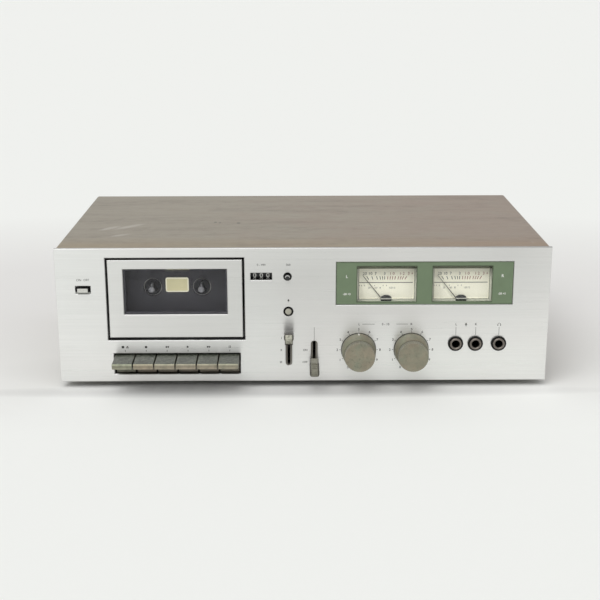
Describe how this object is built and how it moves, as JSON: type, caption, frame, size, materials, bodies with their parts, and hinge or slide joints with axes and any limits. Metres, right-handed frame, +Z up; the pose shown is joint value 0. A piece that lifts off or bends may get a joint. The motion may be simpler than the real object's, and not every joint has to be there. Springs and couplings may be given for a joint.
{
  "type": "cassette deck",
  "caption": "Front-loading stereo cassette deck with brushed front, hinged door, piano keys, needle meters, lever switches, rotary level controls and jacks in a wood-grain case.",
  "frame": {"origin": "middle of the bounding box, on the floor under the feet", "axes": "+X to the right seen from the front, +Y from the front towards the back, +Z up"},
  "size_m": [0.42, 0.2586, 0.124],
  "materials": {
    "brushed_aluminium": "brushed sideways, clear anodised",
    "wood_vinyl": "steel under wood-grain vinyl",
    "plated_steel": "zinc plated sheet",
    "bright_metal": "polished",
    "black_plastic": "fine satin",
    "key_grey": "satin, worn lighter on the lips",
    "knob_grey": "satin",
    "light_grey": "satin",
    "meter_green": "satin print",
    "cream": "matt",
    "smoked_acrylic": "gloss, smoked",
    "clear_acrylic": "gloss, clear",
    "black_rubber": "matt",
    "board_brown": "paper laminate",
    "lacquered_iron": "lacquered stack"
  },
  "bodies": {
    "root": {"front_panel": "brushed_aluminium", "front_frame": "black_plastic", "top_cover": "wood_vinyl", "chassis_tray": "plated_steel", "rear_panel": "plated_steel", "foot_front_left": "black_rubber", "foot_front_right": "black_rubber", "foot_rear_left": "black_rubber", "foot_rear_right": "black_rubber", "cassette_well": "black_plastic", "light_reflector": "cream", "transport_plate": "plated_steel", "drive_motor": "plated_steel", "drive_belt": "black_rubber", "key_shaft": "plated_steel", "power_switch": "black_plastic", "counter_housing": "black_plastic", "lever_bracket": "plated_steel", "meter_plate": "meter_green", "meter_lens": "clear_acrylic", "meter_left": "cream", "meter_right": "cream", "level_control_left": "plated_steel", "level_control_right": "plated_steel", "microphone_jack_left": "black_plastic", "microphone_jack_right": "black_plastic", "headphone_jack": "black_plastic", "line_sockets": "black_plastic", "cord_bushing": "black_plastic", "mains_transformer": "lacquered_iron", "main_board": "board_brown"},
    "cassette_door": {"door_plate": "brushed_aluminium", "door_window": "smoked_acrylic", "door_carrier": "black_plastic"},
    "head_bridge": {"head_bridge": "plated_steel", "record_play_head": "bright_metal", "erase_head": "bright_metal"},
    "pinch_roller": {"pinch_roller": "black_rubber"},
    "supply_spindle": {"supply_spindle": "black_plastic"},
    "takeup_spindle": {"takeup_spindle": "black_plastic"},
    "capstan_flywheel": {"capstan_flywheel": "bright_metal"},
    "motor_pulley": {"motor_pulley": "bright_metal"},
    "stop_key": {"stop_key": "key_grey"},
    "record_key": {"record_key": "key_grey"},
    "rewind_key": {"rewind_key": "key_grey"},
    "play_key": {"play_key": "key_grey"},
    "forward_key": {"forward_key": "key_grey"},
    "pause_key": {"pause_key": "key_grey"},
    "power_button": {"power_button": "key_grey"},
    "reset_button": {"reset_button": "black_plastic"},
    "microphone_button": {"microphone_button": "light_grey"},
    "counter_hundreds": {"counter_hundreds": "black_plastic"},
    "counter_tens": {"counter_tens": "black_plastic"},
    "counter_units": {"counter_units": "black_plastic"},
    "tape_lever": {"tape_lever": "knob_grey"},
    "noise_lever": {"noise_lever": "knob_grey"},
    "level_knob_left": {"level_knob_left": "knob_grey"},
    "level_knob_right": {"level_knob_right": "knob_grey"},
    "needle_left": {"needle_left": "black_plastic"},
    "needle_right": {"needle_right": "black_plastic"}
  },
  "joints": [
    {"name": "door_hinge", "type": "hinge", "parent": "root", "child": "cassette_door", "pos_m": [-0.1087, -0.102, 0.0479], "axis": [1, 0, 0], "range_deg": [0, 24]},
    {"name": "stop_key_hinge", "type": "hinge", "parent": "root", "child": "stop_key", "pos_m": [-0.1537, -0.0625, 0.0255], "axis": [1, 0, 0], "range_deg": [0, 5.5], "stiffness_Nm_per_rad": 2, "springref_deg": -2.86},
    {"name": "record_key_hinge", "type": "hinge", "parent": "root", "child": "record_key", "pos_m": [-0.1357, -0.0625, 0.0255], "axis": [1, 0, 0], "range_deg": [0, 5.5], "stiffness_Nm_per_rad": 2, "springref_deg": -2.86},
    {"name": "rewind_key_hinge", "type": "hinge", "parent": "root", "child": "rewind_key", "pos_m": [-0.1177, -0.0625, 0.0255], "axis": [1, 0, 0], "range_deg": [0, 5.5], "stiffness_Nm_per_rad": 2, "springref_deg": -2.86},
    {"name": "play_key_hinge", "type": "hinge", "parent": "root", "child": "play_key", "pos_m": [-0.0997, -0.0625, 0.0255], "axis": [1, 0, 0], "range_deg": [0, 5.5], "stiffness_Nm_per_rad": 2, "springref_deg": -2.86},
    {"name": "forward_key_hinge", "type": "hinge", "parent": "root", "child": "forward_key", "pos_m": [-0.0817, -0.0625, 0.0255], "axis": [1, 0, 0], "range_deg": [0, 5.5], "stiffness_Nm_per_rad": 2, "springref_deg": -2.86},
    {"name": "pause_key_hinge", "type": "hinge", "parent": "root", "child": "pause_key", "pos_m": [-0.0637, -0.0625, 0.0255], "axis": [1, 0, 0], "range_deg": [0, 5.5], "stiffness_Nm_per_rad": 2, "springref_deg": -2.86},
    {"name": "power_button_slide", "type": "slide", "parent": "root", "child": "power_button", "axis": [0, 1, 0], "range_m": [0, 0.0025], "stiffness_N_per_m": 400, "springref_m": -0.004},
    {"name": "reset_button_slide", "type": "slide", "parent": "root", "child": "reset_button", "axis": [0, 1, 0], "range_m": [0, 0.0016], "stiffness_N_per_m": 300, "springref_m": -0.002},
    {"name": "microphone_button_slide", "type": "slide", "parent": "root", "child": "microphone_button", "axis": [0, 1, 0], "range_m": [0, 0.0016], "stiffness_N_per_m": 300, "springref_m": -0.002},
    {"name": "counter_hundreds_spin", "type": "hinge", "parent": "root", "child": "counter_hundreds", "pos_m": [-0.0412, -0.096, 0.0992], "axis": [1, 0, 0], "continuous": true},
    {"name": "counter_tens_spin", "type": "hinge", "parent": "root", "child": "counter_tens", "pos_m": [-0.0356, -0.096, 0.0992], "axis": [1, 0, 0], "continuous": true},
    {"name": "counter_units_spin", "type": "hinge", "parent": "root", "child": "counter_units", "pos_m": [-0.03, -0.096, 0.0992], "axis": [1, 0, 0], "continuous": true},
    {"name": "tape_lever_hinge", "type": "hinge", "parent": "root", "child": "tape_lever", "pos_m": [-0.0124, -0.0755, 0.0337], "axis": [1, 0, 0], "range_deg": [0, 37.6]},
    {"name": "noise_lever_hinge", "type": "hinge", "parent": "root", "child": "noise_lever", "pos_m": [0.0094, -0.0755, 0.02815], "axis": [1, 0, 0], "range_deg": [-19.3, 0]},
    {"name": "level_knob_left_turn", "type": "hinge", "parent": "root", "child": "level_knob_left", "pos_m": [0.04765, -0.1075, 0.0337], "axis": [0, 1, 0], "range_deg": [-150, 150]},
    {"name": "level_knob_right_turn", "type": "hinge", "parent": "root", "child": "level_knob_right", "pos_m": [0.09295, -0.1075, 0.0337], "axis": [0, 1, 0], "range_deg": [-150, 150]},
    {"name": "needle_left_swing", "type": "hinge", "parent": "root", "child": "needle_left", "pos_m": [0.07105, -0.0988, 0.07245], "axis": [0, 1, 0], "range_deg": [0, 77.4], "stiffness_Nm_per_rad": 0.0001, "springref_deg": -17.19},
    {"name": "needle_right_swing", "type": "hinge", "parent": "root", "child": "needle_right", "pos_m": [0.13525, -0.0988, 0.07245], "axis": [0, 1, 0], "range_deg": [0, 77.4], "stiffness_Nm_per_rad": 0.0001, "springref_deg": -17.19},
    {"name": "supply_spin", "type": "hinge", "parent": "root", "child": "supply_spindle", "pos_m": [-0.12995, -0.1075, 0.085], "axis": [0, 1, 0], "continuous": true},
    {"name": "takeup_spin", "type": "hinge", "parent": "root", "child": "takeup_spindle", "pos_m": [-0.08745, -0.1075, 0.085], "axis": [0, 1, 0], "continuous": true},
    {"name": "capstan_spin", "type": "hinge", "parent": "root", "child": "capstan_flywheel", "pos_m": [-0.0802, -0.1075, 0.0585], "axis": [0, 1, 0], "continuous": true},
    {"name": "pulley_spin", "type": "hinge", "parent": "root", "child": "motor_pulley", "pos_m": [-0.145, -0.1075, 0.0585], "axis": [0, 1, 0], "continuous": true},
    {"name": "head_bridge_slide", "type": "slide", "parent": "root", "child": "head_bridge", "axis": [0, 0, 1], "range_m": [0, 0.008]},
    {"name": "pinch_roller_spin", "type": "hinge", "parent": "head_bridge", "child": "pinch_roller", "pos_m": [-0.0802, -0.0966, 0.0425], "axis": [0, 1, 0], "continuous": true}
  ],
  "couplings": [
    {"joint": "play_key_hinge", "follows": "head_bridge_slide", "rad_per_m": 11.999},
    {"joint": "pulley_spin", "follows": "capstan_spin", "ratio": 5.875},
    {"joint": "counter_units_spin", "follows": "takeup_spin", "ratio": 0.05},
    {"joint": "counter_tens_spin", "follows": "takeup_spin", "ratio": 0.005},
    {"joint": "counter_hundreds_spin", "follows": "takeup_spin", "ratio": 0.0005}
  ]
}
